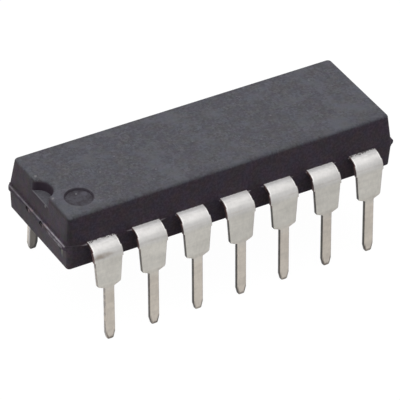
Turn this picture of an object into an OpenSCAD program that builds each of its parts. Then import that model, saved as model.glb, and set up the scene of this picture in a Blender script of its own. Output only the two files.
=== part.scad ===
// A dual in-line integrated circuit with fourteen leads, in millimetres.
// X runs along the body with the notch at the -X end, Y runs to the back row, Z is up.
// The origin lies midway between the two rows, on the plane that the lead tips stand on.

/* [Moulded body] */
// Length of the body at the parting line
body_l = 18.98; // [18.7:0.02:19.6]
// Width of the body at the parting line
body_w = 6.16; // [6.1:0.02:6.5]
// Height of the body above the parting line
upper_h = 1.74; // [1.6:0.02:2]
// Height of the body below the parting line
lower_h = 1.34; // [1.2:0.02:1.6]
// Draft of the upper walls in degrees
upper_draft = 6.5; // [4:0.5:9]
// Draft of the lower walls in degrees
lower_draft = 2.5; // [1:0.5:8]
// Fillet round the top face
top_fillet = 0.17; // [0.1:0.01:0.3]
// Fillet round the underside
under_fillet = 0.06; // [0.04:0.01:0.2]
// Radius of the upright corners
corner_r = 0.18; // [0.1:0.01:0.4]

/* [Notch, dot and mould marks] */
// Radius of the end notch at the top face, without its soft rim
notch_r = 0.79; // [0.78:0.01:0.9]
// Radius of the notch at its flat floor
notch_floor_r = 0.73; // [0.6:0.01:0.77]
// Radius of the notch's soft rim
notch_rim = 0.22; // [0.1:0.01:0.26]
// Depth of the end notch
notch_depth = 0.64; // [0.4:0.02:0.8]
// How far the notch's middle lies outside the top's end edge
notch_offset = 0.2; // [0:0.01:0.3]
// Radius of the dot beside lead one
dot_r = 0.74; // [0.5:0.02:0.9]
// Depth of the dot
dot_depth = 0.12; // [0.05:0.01:0.2]
// Draft of the dot's wall in degrees
dot_draft = 20; // [5:1:40]
// Distance from the top's end edge to the dot's centre
dot_from_end = 1.29; // [1.1:0.01:1.6]
// Distance from the top's long edge to the dot's centre
dot_from_side = 1.35; // [1.1:0.01:1.6]
// Radius of the ejector pin marks under the body
ejector_r = 0.75; // [0.5:0.05:1]
// Depth of the ejector pin marks
ejector_depth = 0.05; // [0.02:0.01:0.1]
// Distance between the two ejector pin marks
ejector_pitch = 11.4; // [8:0.2:13]
// How far the parting ridge stands out of each end
ridge_out = 0.18; // [0.08:0.01:0.25]
// Height of the parting ridge where it leaves the end
ridge_h = 0.38; // [0.3:0.02:0.5]
// Height of the parting ridge at its crest
ridge_crest_h = 0.24; // [0.22:0.01:0.28]
// Length of the parting ridge at its crest
ridge_l = 5.84; // [5:0.02:6]
// Room between a broken tie bar and the near edge of its pit in the ridge
pit_gap = 0.02; // [0.01:0.01:0.05]
// Width of the hole that was torn open on the far side of each tie bar
pit_w = 0.18; // [0.1:0.01:0.24]
// Depth of the pits below the crest of the ridge
pit_depth = 0.13; // [0.06:0.01:0.2]
// Depth of the broken tie bars' ends below the crest of the ridge
bar_break = 0.03; // [0.01:0.01:0.05]
// Length of the flash left beside each lead
flash_l = 0.42; // [0.2:0.02:0.46]
// How far that flash stands out of the side
flash_out = 0.1; // [0.04:0.01:0.11]
// Length of the gate scar under the ridge at the notch end
gate_l = 1.5; // [1.2:0.1:1.8]
// Height of the gate scar
gate_h = 0.24; // [0.1:0.02:0.4]
// Gap between the ridge and the gate scar
gate_drop = 0.1; // [0.06:0.01:0.2]
// How far the gate scar stands out of the end
gate_out = 0.06; // [0.03:0.01:0.1]

/* [Leads outside the body] */
// Distance from lead to lead along a row
pitch = 2.54; // [2.5:0.01:2.58]
// Least distance from the middle of an end lead to the body's end
end_land = 1.3; // [1.22:0.02:1.6]
// Distance between the rows, at the bends
row_span = 7.62; // [7.5:0.02:7.8]
// Thickness of the lead frame strip
strip_t = 0.2; // [0.18:0.01:0.24]
// Outer radius of the bend
bend_r = 0.75; // [0.55:0.01:0.78]
// Outward lean of the legs in degrees
splay = 3.8; // [1:0.1:5]
// Height of the underside over the seating shoulders
standoff = 0.79; // [0.6:0.01:1]
// Length of the pin under the seating shoulder
pin_l = 3.32; // [3:0.02:3.8]
// Width of a lead where it leaves the body
exit_w = 1.58; // [1.4:0.01:1.6]
// How far the dam bar stubs stand out on each side
stub_out = 0.04; // [0.02:0.01:0.08]
// Height of the dam bar stubs
stub_h = 0.56; // [0.4:0.02:0.6]
// Drop from the lead's top face to the top of the stubs
stub_drop = 0.22; // [0.15:0.01:0.3]
// Width of a lead just under the stubs
neck_w = 1.55; // [1.35:0.01:1.58]
// Width of a lead at the seating shoulder
shoulder_w = 1.33; // [1.15:0.01:1.34]
// Rise of the shoulder from the pin to its outer corner
shoulder_rise = 0.17; // [0.08:0.01:0.25]
// Radius of the shoulder's outer corners
shoulder_r = 0.13; // [0.05:0.01:0.16]
// Width of the pin
pin_w = 0.55; // [0.4:0.01:0.6]
// Width of the pin's end
tip_w = 0.34; // [0.24:0.01:0.38]
// Length over which the pin narrows to its end
tip_l = 0.42; // [0.3:0.02:0.6]

/* [Lead frame inside the body] */
// Length of the die pad
pad_l = 3.6; // [3.2:0.1:3.8]
// Width of the die pad
pad_w = 2.4; // [2.1:0.1:2.5]
// Depth of the die pad below the leads
pad_drop = 0.2; // [0.1:0.01:0.25]
// Width of a tie bar
bar_w = 0.3; // [0.24:0.01:0.34]
// Distance between the two tie bars at each end
bar_pitch = 1.42; // [1.4:0.02:1.54]
// Width of an inner finger
finger_w = 0.36; // [0.3:0.01:0.4]
// Gap between neighbouring pieces of the lead frame
frame_gap = 0.22; // [0.18:0.01:0.24]
// Length of the wide root that anchors a lead in the body
root_l = 0.3; // [0.2:0.02:0.34]

/* [Chip] */
// Length of the silicon die
die_l = 1.9; // [1.6:0.1:2.4]
// Width of the silicon die
die_w = 1.5; // [1.3:0.1:1.8]
// Thickness of the silicon die
die_t = 0.28; // [0.2:0.01:0.32]
// Thickness of the die attach adhesive
attach_t = 0.03; // [0.02:0.01:0.05]
// How far the adhesive squeezes out round the die
attach_out = 0.06; // [0.03:0.01:0.1]

/* [Bond wires] */
// Diameter of the bond wire
wire_d = 0.032; // [0.025:0.001:0.04]
// Height of the wire loop over the line from end to end
loop_h = 0.24; // [0.18:0.01:0.3]
// Diameter of the ball bond
ball_d = 0.08; // [0.06:0.005:0.1]
// Height of the ball bond
ball_h = 0.025; // [0.015:0.005:0.03]
// Distance from the die's edge to the ball bonds
bond_inset = 0.12; // [0.08:0.01:0.16]
// Length of the flat stitch at the finger
stitch_l = 0.1; // [0.06:0.01:0.14]
// Distance from the finger's end to the stitch
stitch_inset = 0.16; // [0.1:0.01:0.22]

/* [Hidden] */
ARC_STEPS = 8;
CORNER_TURN = 22.5;
BEND_STEPS = 14;
WIRE_STEPS = 12;
WIRE_SIDES = 6;
BITE = 0.3;
$fn = 64;

// Heights of the seating plane, the underside, the parting line and the top
under_z = pin_l + standoff;
part_z = under_z + lower_h;
top_z = part_z + upper_h;
strip_top = part_z + strip_t / 2;
strip_under = part_z - strip_t / 2;

// Half sizes of the body at the parting line and at the top
half_l = body_l / 2;
half_w = body_w / 2;
top_inset = upper_h * tan(upper_draft);
under_inset = lower_h * tan(lower_draft);

// As many leads as the body has room for, and the middle of their row counted from lead one
row_leads = 1 + floor((body_l - 2 * end_land) / pitch);
leads = 2 * row_leads;
row_middle = (row_leads + 1) / 2;

// Outer face of a leg at the parting height and at the tips
leg_y = row_span / 2 + strip_t / 2;
tip_y = leg_y + part_z * tan(splay);

// Lanes that the inner fingers run in, shared out between the tie bars and the leads' roots
bar_edge = bar_pitch / 2 + bar_w / 2;
lane_1 = bar_edge + frame_gap + finger_w / 2;
lane_3 = half_w - root_l - frame_gap;
lane_2 = (lane_1 + lane_3) / 2;
finger_end = pad_w / 2 + frame_gap;
turn = 0.5;

// Finger ends beside the pad: the outermost of those along its edge, then the two rows past its end
edge_x = pad_l / 2 - finger_w - frame_gap;
corner_x = pad_l / 2 + finger_w + frame_gap;
lane_x = corner_x + lane_3 - lane_2 + frame_gap;
edge_column = max(row_middle - 3, 0.5);

// Stack of the die pad, the adhesive and the die
pad_top = strip_top - pad_drop;
attach_top = pad_top + attach_t;
die_top = attach_top + die_t;

function two_digits(n) = str(n < 10 ? "0" : "", n);
function lead_name(n) = str("lead_", two_digits(n));
function wire_name(n) = str("bond_wire_", two_digits(n));

// Leads run along the front from the notch and come back along the rear, as columns from the middle
function column(n) = n <= row_leads ? n - row_middle : leads + 1 - n - row_middle;
function front(n) = n <= row_leads;

// Arc points that round the corner b, between a and c, with radius r
function unit(v) = v / norm(v);
function corner_arc(a, b, c, r, steps) =
    let (
        u = unit(a - b),
        v = unit(c - b),
        half = acos(u * v) / 2,
        centre = b + unit(u + v) * r / sin(half),
        spoke = b + u * r / tan(half) - centre,
        side = sign(u[0] * v[1] - u[1] * v[0]),
        sweep = side * (180 - 2 * half)
    )
    [for (i = [0:steps]) let (t = -sweep * i / steps)
        centre + [spoke[0] * cos(t) - spoke[1] * sin(t), spoke[0] * sin(t) + spoke[1] * cos(t)]];

// Outline through corners given as [x, y, radius]
function rounded(corners, steps = ARC_STEPS) =
    let (n = len(corners), at = function(i) [corners[i][0], corners[i][1]])
    [for (i = [0:n - 1]) each
        corners[i][2] == 0 ? [at(i)] : corner_arc(at((i + n - 1) % n), at(i), at((i + 1) % n), corners[i][2], steps)];

// Mirror image in X of an outline's right half, joined to that half
function both_sides(right) =
    concat(right, [for (i = [len(right) - 1:-1:0]) [-right[i][0], right[i][1], right[i][2]]]);

// Band of even width along a path, with mitred corners
function side_of(a, b) = let (d = unit(b - a)) [-d[1], d[0]];
function mitre(path, i) =
    let (
        n = len(path),
        before = side_of(path[max(i - 1, 0)], path[max(i, 1)]),
        after = side_of(path[min(i, n - 2)], path[min(i + 1, n - 1)]),
        sum = before + after
    )
    sum * 2 / (sum * sum);
function band(path, width) = concat(
    [for (i = [0:len(path) - 1]) path[i] + mitre(path, i) * width / 2],
    [for (i = [len(path) - 1:-1:0]) path[i] - mitre(path, i) * width / 2]
);

// Plane of a drawing in Y and Z, run along X, and one in X and Z, run along Y
module along_x(length) {
    rotate([90, 0, 90]) linear_extrude(length, center = true) children();
}
module along_y(length) {
    rotate([90, 0, 0]) linear_extrude(length, center = true) children();
}

// Drafted and filleted section through two opposite walls that stand half from the middle
module wall_section(half, inset_share) {
    polygon(rounded(both_sides([
        [half - under_inset * inset_share, under_z, under_fillet],
        [half, part_z, 0],
        [half - top_inset * inset_share, top_z, top_fillet]
    ])));
}

// Block between its drafted walls, with its upright corners rounded by walls in between
module drafted_block() {
    intersection_for (a = [CORNER_TURN - 90:CORNER_TURN:90]) {
        x_share = cos(a);
        y_share = abs(sin(a));
        rotate([0, 0, a])
            along_y(body_l + body_w)
                wall_section(
                    (half_l - corner_r) * x_share + (half_w - corner_r) * y_share + corner_r,
                    x_share + y_share
                );
    }
}

// Ridge of moulding compound where the mould halves meet at the two ends
module parting_ridge() {
    crest = half_l + ridge_out;
    slope = (ridge_h - ridge_crest_h) / 2;
    intersection() {
        along_y(body_w) polygon([
            [half_l - BITE, part_z + ridge_h / 2],
            [half_l, part_z + ridge_h / 2],
            [crest, part_z + ridge_crest_h / 2],
            [crest, part_z - ridge_crest_h / 2],
            [half_l, part_z - ridge_h / 2],
            [half_l - BITE, part_z - ridge_h / 2]
        ]);
        linear_extrude(top_z) polygon([
            [half_l - BITE, -ridge_l / 2 - slope],
            [half_l, -ridge_l / 2 - slope],
            [crest, -ridge_l / 2],
            [crest, ridge_l / 2],
            [half_l, ridge_l / 2 + slope],
            [half_l - BITE, ridge_l / 2 + slope]
        ]);
    }
}

// Thin wedges of flash between the mould and the dam bar, beside every lead
module lead_flash() {
    for (i = [1:row_leads], side = [-1, 1])
        translate([(i - row_middle) * pitch + side * exit_w / 2, 0, strip_under])
            linear_extrude(strip_t) polygon([
                [0, -half_w - flash_out],
                [side * flash_l, -half_w],
                [side * flash_l, -half_w + BITE],
                [0, -half_w + BITE]
            ]);
}

// Scar under the ridge of the notch end, where the compound was let into the mould
module gate_scar() {
    top = part_z - ridge_h / 2 - gate_drop;
    face = half_l - (part_z - top) * tan(lower_draft);
    translate([0, -bar_edge - gate_l / 2, 0])
        along_y(gate_l) polygon([
            [-face + BITE, top],
            [-face - gate_out, top],
            [-face - gate_out, top - gate_h / 3],
            [-face + gate_h * tan(lower_draft), top - gate_h],
            [-face + BITE, top - gate_h]
        ]);
}

// Half round notch that marks the end with lead one
module end_notch() {
    foot = [notch_floor_r, top_z - notch_depth];
    rim = corner_arc(foot, [notch_r, top_z], [notch_r + BITE, top_z], notch_rim, ARC_STEPS);
    translate([-half_l + top_inset - notch_offset, 0, 0])
        rotate_extrude() polygon(concat(
            [[0, foot[1]], foot],
            rim,
            [[rim[ARC_STEPS][0], top_z + BITE], [0, top_z + BITE]]
        ));
}

module lead_one_dot() {
    translate([-half_l + top_inset + dot_from_end, -half_w + top_inset + dot_from_side, top_z - dot_depth]) {
        cylinder(h = dot_depth, r1 = dot_r - dot_depth * tan(dot_draft), r2 = dot_r);
        translate([0, 0, dot_depth]) cylinder(h = BITE, r = dot_r);
    }
}

module ejector_marks() {
    for (side = [-1, 1])
        translate([side * ejector_pitch / 2, 0, under_z - BITE])
            cylinder(h = BITE + ejector_depth, r = ejector_r);
}

// Pits in the two ridges where the tie bars were broken off and pushed to the front
module bar_pits() {
    reach = half_l + ridge_out - pit_depth;
    for (end = [-1, 1], side = [-1, 1])
        translate([end * (reach + BITE / 2), side * bar_pitch / 2 + (pit_w - pit_gap) / 2, part_z])
            cube([BITE, bar_w + pit_w + pit_gap, strip_t], center = true);
}

module mould_body() {
    color([0.25, 0.24, 0.27])
        difference() {
            union() {
                drafted_block();
                for (end = [0, 180])
                    rotate([0, 0, end]) parting_ridge();
                lead_flash();
                mirror([0, 1, 0]) lead_flash();
                gate_scar();
            }
            end_notch();
            lead_one_dot();
            ejector_marks();
            bar_pits();
            die_pad();
            die_attach();
            die();
            for (n = [1:leads]) {
                lead(n);
                bond_wire(n);
            }
        }
}

// Place of a column in its row, counted in from the end lead
function place(k) = row_middle - 1 - k;

// Route of the finger in a column at or right of the middle. The end lead takes the lane beside
// the tie bar, its neighbour goes round to the pad's corner and the rest reach the pad's edge.
function finger_path(k) =
    let (tip_x = edge_x * k / edge_column)
    place(k) == 0 ? [
        [k * pitch, -half_w + BITE],
        [k * pitch, -lane_1 - turn],
        [k * pitch - turn, -lane_1],
        [lane_x, -lane_1]
    ] :
    place(k) == 1 ? [
        [k * pitch, -half_w + BITE],
        [k * pitch, -lane_2 - turn],
        [k * pitch - turn, -lane_2],
        [lane_x, -lane_2],
        [corner_x, -lane_1 - finger_w / 2]
    ] : [
        [k * pitch, -half_w + BITE],
        [k * pitch, -lane_3],
        [tip_x, -lane_2],
        [tip_x, -finger_end]
    ];

// Flat part of a lead inside the body: the anchor root and the finger
module inner_finger(column) {
    k = abs(column);
    mirror([column < 0 ? 1 : 0, 0, 0])
        translate([0, 0, strip_under])
            linear_extrude(strip_t)
                union() {
                    polygon(band(finger_path(k), finger_w));
                    translate([k * pitch, -half_w])
                        polygon([
                            [-exit_w / 2, -BITE / 2],
                            [exit_w / 2, -BITE / 2],
                            [exit_w / 2, root_l],
                            [finger_w / 2, root_l + frame_gap],
                            [-finger_w / 2, root_l + frame_gap],
                            [-exit_w / 2, root_l]
                        ]);
                }
}

// Side view of the bent strip, from inside the wall to below the tip
module bent_strip() {
    lean = tan(splay);
    foot = -BITE;
    face = function(z) -leg_y - (part_z - z) * lean;
    back = strip_t / cos(splay);
    polygon(concat(
        [[-half_w + root_l, strip_top]],
        corner_arc([0, strip_top], [face(strip_top), strip_top], [face(foot), foot], bend_r, BEND_STEPS),
        [[face(foot), foot], [face(foot) + back, foot]],
        corner_arc([face(foot) + back, foot], [face(strip_under) + back, strip_under], [0, strip_under],
            bend_r - strip_t, BEND_STEPS),
        [[-half_w + root_l, strip_under]]
    ));
}

// Front view of the leg, with the dam bar stubs, the seating shoulder and the pin
module leg_outline() {
    stub_top = strip_top - stub_drop;
    stub_w = exit_w + 2 * stub_out;
    polygon(rounded(both_sides([
        [tip_w / 2, 0, tip_w / 3],
        [pin_w / 2, tip_l, tip_l / 2],
        [pin_w / 2, pin_l - shoulder_rise, shoulder_r / 2],
        [shoulder_w / 2, pin_l, shoulder_r],
        [neck_w / 2, stub_top - stub_h, shoulder_r / 4],
        [stub_w / 2, stub_top - stub_h, shoulder_r / 4],
        [stub_w / 2, stub_top, shoulder_r / 4],
        [exit_w / 2, stub_top, shoulder_r / 4],
        [exit_w / 2, strip_top + BITE, 0]
    ])));
}

module front_lead(column) {
    union() {
        inner_finger(column);
        translate([column * pitch, 0, 0])
            intersection() {
                along_x(exit_w + BITE) bent_strip();
                translate([0, -half_w - tip_y / 2, 0]) along_y(tip_y) leg_outline();
            }
    }
}

module lead(n) {
    color([0.78, 0.77, 0.73])
        mirror([0, front(n) ? 0 : 1, 0]) front_lead(column(n));
}

// Paddle for the die, lowered below the leads on two tie bars at each end
module die_pad() {
    bar_end = half_l + ridge_out - bar_break;
    bend_start = pad_l / 2 + frame_gap;
    bend_end = bend_start + 2 * pad_drop;
    color([0.72, 0.48, 0.36])
        union() {
            translate([-pad_l / 2, -pad_w / 2, pad_top - strip_t]) cube([pad_l, pad_w, strip_t]);
            for (end = [0, 1], side = [-1, 1])
                mirror([end, 0, 0])
                    translate([0, side * bar_pitch / 2, 0])
                        along_y(bar_w) polygon([
                            [pad_l / 2 - BITE, pad_top],
                            [bend_start, pad_top],
                            [bend_end, strip_top],
                            [bar_end, strip_top],
                            [bar_end, strip_under],
                            [bend_end, strip_under],
                            [bend_start, pad_top - strip_t],
                            [pad_l / 2 - BITE, pad_top - strip_t]
                        ]);
        }
}

module die_attach() {
    color([0.62, 0.62, 0.6])
        translate([0, 0, pad_top + attach_t / 2])
            cube([die_l + 2 * attach_out, die_w + 2 * attach_out, attach_t], center = true);
}

module die() {
    color([0.3, 0.33, 0.38])
        translate([0, 0, attach_top + die_t / 2]) cube([die_l, die_w, die_t], center = true);
}

// Bond pad on the die for a column at or right of the middle
function bond_pad(k) =
    let (x = die_l / 2 - bond_inset, y = die_w / 2 - bond_inset)
    place(k) == 0 ? [x, -y / 3] :
    place(k) == 1 ? [x, -y] :
    [x / 2 * k / edge_column, -y];

// Place of the stitch, back from the end of the column's finger
function stitch_place(k) =
    let (path = finger_path(k), end = path[len(path) - 1], before = path[len(path) - 2])
    end + unit(before - end) * stitch_inset;

// Centres and half sizes of the wire's rings as [run, height, half width, half thickness]
function wire_rings(run) =
    let (start = die_top + ball_h / 2, r = wire_d / 2, flat = wire_d / 4, end = strip_top + flat * sin(60))
    concat(
        [for (i = [0:WIRE_STEPS - 1])
            let (s = pow(i / WIRE_STEPS, 2), rise = pow(s, 0.6))
            [run * s, start + (end - start) * s + loop_h * sin(180 * rise), r, r]],
        [[run, end, 1.4 * r, flat], [run + stitch_l, end, 1.6 * r, flat]]
    );

// Direction of the wire at a ring, in its own upright plane
function wire_heading(rings, i) =
    let (
        n = len(rings),
        a = rings[max(i - 1, 0)],
        b = rings[min(i + 1, n - 1)]
    )
    i == 0 ? [0, 1] :
    i >= n - 2 ? [1, 0] :
    unit([b[0] - a[0], b[1] - a[1]]);

function wire_points(rings) = [
    for (i = [0:len(rings) - 1], j = [0:WIRE_SIDES - 1])
        let (
            ring = rings[i],
            heading = wire_heading(rings, i),
            across = ring[2] * cos(360 * j / WIRE_SIDES),
            up = ring[3] * sin(360 * j / WIRE_SIDES)
        )
        [ring[0] - heading[1] * up, across, ring[1] + heading[0] * up]
];

function wire_faces(rings) =
    let (last = len(rings) - 1, m = WIRE_SIDES)
    concat(
        [[for (j = [0:m - 1]) j]],
        [for (i = [0:last - 1], j = [0:m - 1])
            [i * m + j, (i + 1) * m + j, (i + 1) * m + (j + 1) % m, i * m + (j + 1) % m]],
        [[for (j = [m - 1:-1:0]) last * m + j]]
    );

// Gold wire from its ball on the die, over its loop, to the stitch on the finger
module front_wire(column) {
    k = abs(column);
    start = bond_pad(k);
    reach = stitch_place(k) - start;
    rings = wire_rings(norm(reach));
    mirror([column < 0 ? 1 : 0, 0, 0])
        translate([start[0], start[1], 0])
            rotate([0, 0, atan2(reach[1], reach[0])])
                union() {
                    translate([0, 0, die_top]) cylinder(h = ball_h, r = ball_d / 2, $fn = 12);
                    polyhedron(wire_points(rings), wire_faces(rings), convexity = 4);
                }
}

module bond_wire(n) {
    color([0.9, 0.72, 0.3])
        mirror([0, front(n) ? 0 : 1, 0]) front_wire(column(n));
}

mould_body();
die_pad();
die_attach();
die();
for (n = [1:leads])
    lead(n);
for (n = [1:leads])
    bond_wire(n);
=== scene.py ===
# %% [markdown]
# # A fourteen-lead chip in its moulded body
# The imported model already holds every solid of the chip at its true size. Blender adds what a camera sees: soft
# mould edges, a torn parting ridge, tin plate that turns round a bend, and copper at the sheared edges. The
# moulded body and the leads replace their CAD solids here. The rest keeps its mesh and only gets a finish.

import random
from math import acos, atan2, cos, copysign, pi, radians, sin, sqrt, tan
from types import SimpleNamespace

import bmesh
import bpy
from mathutils import Matrix, Vector


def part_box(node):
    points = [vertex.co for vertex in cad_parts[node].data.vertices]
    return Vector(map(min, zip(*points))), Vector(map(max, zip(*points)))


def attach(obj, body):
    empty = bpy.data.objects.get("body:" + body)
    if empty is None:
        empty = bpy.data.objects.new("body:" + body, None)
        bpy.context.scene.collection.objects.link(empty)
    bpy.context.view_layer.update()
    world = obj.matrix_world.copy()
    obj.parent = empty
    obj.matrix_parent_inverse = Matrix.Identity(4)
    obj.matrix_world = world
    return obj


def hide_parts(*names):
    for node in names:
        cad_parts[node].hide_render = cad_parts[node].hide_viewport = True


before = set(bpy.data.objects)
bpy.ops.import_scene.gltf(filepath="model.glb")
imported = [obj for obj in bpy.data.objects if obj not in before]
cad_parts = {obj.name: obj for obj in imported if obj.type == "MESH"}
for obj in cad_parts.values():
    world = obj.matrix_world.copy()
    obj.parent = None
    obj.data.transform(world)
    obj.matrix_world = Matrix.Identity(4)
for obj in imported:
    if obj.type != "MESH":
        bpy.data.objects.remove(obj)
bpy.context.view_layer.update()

# %% [markdown]
# ## Sizes
# A chip is drawn in millimetres, while the shared frame is in metres. Everything is modelled in millimetres and
# shrunk once, at the end, which also keeps the Boolean solver away from very small numbers. The large sizes are
# read from the CAD boxes, so the pieces follow the frame, and only the details are typed here.

# %% Sizes in millimetres
MM = 0.001


def box_in_mm(node):
    """Lowest and highest corner of a CAD node, in millimetres."""
    low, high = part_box(node)
    return low / MM, high / MM


body_low, body_high = box_in_mm("mould_body")
strip_top = box_in_mm("lead_01")[1].z

# Moulded body
ridge_out = 0.18
flash_out = 0.1
half_l = body_high.x - ridge_out
half_w = body_high.y - flash_out
under_z = body_low.z
top_z = body_high.z
upper_draft = radians(6.5)
lower_draft = radians(2.5)
top_fillet = 0.17
under_fillet = 0.06
upright_r = 0.18

# Lead strip
strip_t = 0.2
strip_middle = strip_top - strip_t / 2
part_z = strip_middle
pitch = 2.54
row_leads = 7
row_span = 7.62
bend_r = 0.75
lean = radians(3.8)
exit_w = 1.58
stub_out = 0.04
stub_h = 0.56
stub_drop = 0.22
neck_w = 1.55
shoulder_w = 1.33
shoulder_rise = 0.17
shoulder_r = 0.13
pin_l = 3.32
pin_w = 0.55
tip_w = 0.34
tip_l = 0.42

upper_inset = (top_z - part_z) * tan(upper_draft)
lower_inset = (part_z - under_z) * tan(lower_draft)
print("body", round(2 * half_l, 2), "x", round(2 * half_w, 2), "mm, parting line at", round(part_z, 2))

# %% [markdown]
# ## Drawing helpers
# Nearly every form of this chip is a stack of outlines: the body is a stack of rectangles, the notch a stack of
# circles, a ridge a row of equal sections. `loft` joins ring to ring and closes both ends, and so always gives
# the closed shell that the Boolean solver asks for. `corner_arc` rounds a corner of an outline, as a
# draughtsman's fillet does. `combine` adds shapes or cuts them away, and `finish_mesh` cleans and smooths the
# result.

# %% Rings, corners and lofts
def add_object(name, data):
    """A new object in the scene."""
    made = bpy.data.objects.new(name, data)
    bpy.context.scene.collection.objects.link(made)
    return made


def corner_arc(before, corner, after, radius, steps):
    """Points of the arc that rounds a corner of a flat outline."""
    u = (before - corner).normalized()
    v = (after - corner).normalized()
    half = u.angle(v) / 2
    centre = corner + (u + v).normalized() * radius / sin(half)
    spoke = corner + u * radius / tan(half) - centre
    sweep = -copysign(pi - 2 * half, u.cross(v))
    return [centre + Matrix.Rotation(sweep * i / steps, 2) @ spoke for i in range(steps + 1)]


def rectangle_ring(half_x, half_y, radius, height, steps=5):
    """A level rectangle with rounded corners, as a ring of points."""
    ring = []
    for quarter, (sx, sy) in enumerate(((1, 1), (-1, 1), (-1, -1), (1, -1))):
        for i in range(steps + 1):
            angle = (quarter + i / steps) * pi / 2
            ring.append((sx * (half_x - radius) + radius * cos(angle),
                         sy * (half_y - radius) + radius * sin(angle), height))
    return ring


def circle_ring(centre, radius, height, steps=72):
    """A level circle as a ring of points."""
    turns = [2 * pi * i / steps for i in range(steps)]
    return [(centre[0] + radius * cos(turn), centre[1] + radius * sin(turn), height) for turn in turns]


def loft(name, rings):
    """A closed shell through a stack of equal rings."""
    shape = bmesh.new()
    rows = [[shape.verts.new(point) for point in ring] for ring in rings]
    for low, high in zip(rows, rows[1:]):
        for i in range(len(low)):
            j = (i + 1) % len(low)
            shape.faces.new((low[i], low[j], high[j], high[i]))
    shape.faces.new(rows[0])
    shape.faces.new(rows[-1])
    bmesh.ops.recalc_face_normals(shape, faces=shape.faces)
    mesh = bpy.data.meshes.new(name)
    shape.to_mesh(mesh)
    shape.free()
    return add_object(name, mesh)


def settle(made):
    """Turn an object with modifiers into a plain mesh."""
    mesh = bpy.data.meshes.new_from_object(made.evaluated_get(bpy.context.evaluated_depsgraph_get()))
    made.modifiers.clear()
    made.data = mesh
    return made


def combine(made, tools, operation):
    """Add the tools to a shape or cut them from it, and drop them."""
    for tool in tools:
        step = made.modifiers.new(tool.name, "BOOLEAN")
        step.operation = operation
        step.solver = "MANIFOLD"
        step.object = tool
    settle(made)
    for tool in tools:
        bpy.data.objects.remove(tool)
    return made


def finish_mesh(made, sharp_angle):
    """Clean a mesh, smooth it up to an angle and bring it to metres."""
    shape = bmesh.new()
    shape.from_mesh(made.data)
    bmesh.ops.remove_doubles(shape, verts=shape.verts, dist=0.0005)
    bmesh.ops.dissolve_degenerate(shape, edges=shape.edges, dist=0.0002)
    bmesh.ops.recalc_face_normals(shape, faces=shape.faces)
    bmesh.ops.scale(shape, verts=shape.verts, vec=(MM, MM, MM))
    shape.to_mesh(made.data)
    open_edges = sum(not edge.is_manifold for edge in shape.edges)
    shape.free()
    made.data.shade_smooth()
    made.data.set_sharp_from_angle(angle=sharp_angle)
    made.modifiers.new("even_normals", "WEIGHTED_NORMAL").keep_sharp = True
    settle(made)
    print(made.name, len(made.data.vertices), "vertices,", open_edges, "open edges")
    return made

# %% [markdown]
# ## Node helpers
# Materials and geometry trees are both made of nodes. `put` adds one node, and takes for each input either a
# plain value or the output of another node. An output knows its tree, so the tree is only named where a branch
# begins. `calc` is the same for arithmetic, and `ramp` carries a value from one range to another. The roughness
# and the relief of a surface usually come from the same grain, so `cover` sets both.

# %% Node helpers
def is_output(value):
    """Tell the output of a node from a plain value."""
    return isinstance(value, bpy.types.NodeSocket)


def feed(node, inputs):
    """Set the inputs of a node, or link them."""
    for place, value in inputs.items():
        socket = node.inputs[place]
        if is_output(value):
            node.id_data.links.new(value, socket)
        else:
            socket.default_value = (*value, 1) if socket.type == "RGBA" else value


def new_node(kind, inputs, tree=None, **settings):
    """Add a node to a tree, or to the tree that its inputs belong to."""
    tree = tree or next(value.id_data for value in inputs.values() if is_output(value))
    made = tree.nodes.new(kind)
    for name, value in settings.items():
        setattr(made, name, value)
    feed(made, inputs)
    return made


def put(kind, inputs, tree=None, **settings):
    """Add a node and hand on its first output."""
    return new_node(kind, inputs, tree, **settings).outputs[0]


def calc(operation, *values):
    """One step of arithmetic between numbers or outputs."""
    return put("ShaderNodeMath", dict(enumerate(values)), operation=operation)


def calc_vector(operation, first, second):
    """One step of arithmetic between vectors or colours."""
    return put("ShaderNodeVectorMath", {0: first, 1: second}, operation=operation)


def plus(first, second):
    """Two numbers added."""
    return calc("ADD", first, second)


def minus(first, second):
    """One number taken from another."""
    return calc("SUBTRACT", first, second)


def product(first, *others):
    """Several numbers or masks multiplied."""
    for other in others:
        first = calc("MULTIPLY", first, other)
    return first


def split(vector):
    """The three numbers of a vector."""
    return new_node("ShaderNodeSeparateXYZ", {0: vector}).outputs


def ramp(value, low, high, at_low=0.0, at_high=1.0):
    """Carry a value from one range to another and stop at its ends."""
    return put("ShaderNodeMapRange", {0: value, 1: low, 2: high, 3: at_low, 4: at_high},
               interpolation_type="SMOOTHSTEP")


def blend(share, first, second):
    """Mix two colours by a share."""
    return new_node("ShaderNodeMix", {0: share, 6: first, 7: second}, data_type="RGBA").outputs[2]


def scaled(colour, factor):
    """A colour made darker or lighter by a factor."""
    return put("ShaderNodeVectorMath", {0: colour, "Scale": factor}, operation="SCALE")


def emptied(made):
    """The node tree of a new material or world, with nothing in it."""
    made.use_nodes = True
    made.node_tree.nodes.clear()
    return made.node_tree


def new_material(name):
    """A material, its main shader, and the place on the piece in millimetres."""
    made = bpy.data.materials.new(name)
    shader = new_node("ShaderNodeBsdfPrincipled", {}, emptied(made))
    new_node("ShaderNodeOutputMaterial", {"Surface": shader.outputs[0]})
    place = new_node("ShaderNodeTexCoord", {}, made.node_tree).outputs["Object"]
    return made, shader, put("ShaderNodeMapping", {"Vector": place, "Scale": (1 / MM,) * 3})


def grain(place, per_mm, detail=3.0, roughness=0.5, stretch=(1, 1, 1)):
    """A noise with so many blotches to a millimetre, from 0 to 1."""
    if stretch != (1, 1, 1):
        place = put("ShaderNodeMapping", {"Vector": place, "Scale": stretch})
    return put("ShaderNodeTexNoise", {"Vector": place, "Scale": per_mm, "Detail": detail, "Roughness": roughness})


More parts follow.
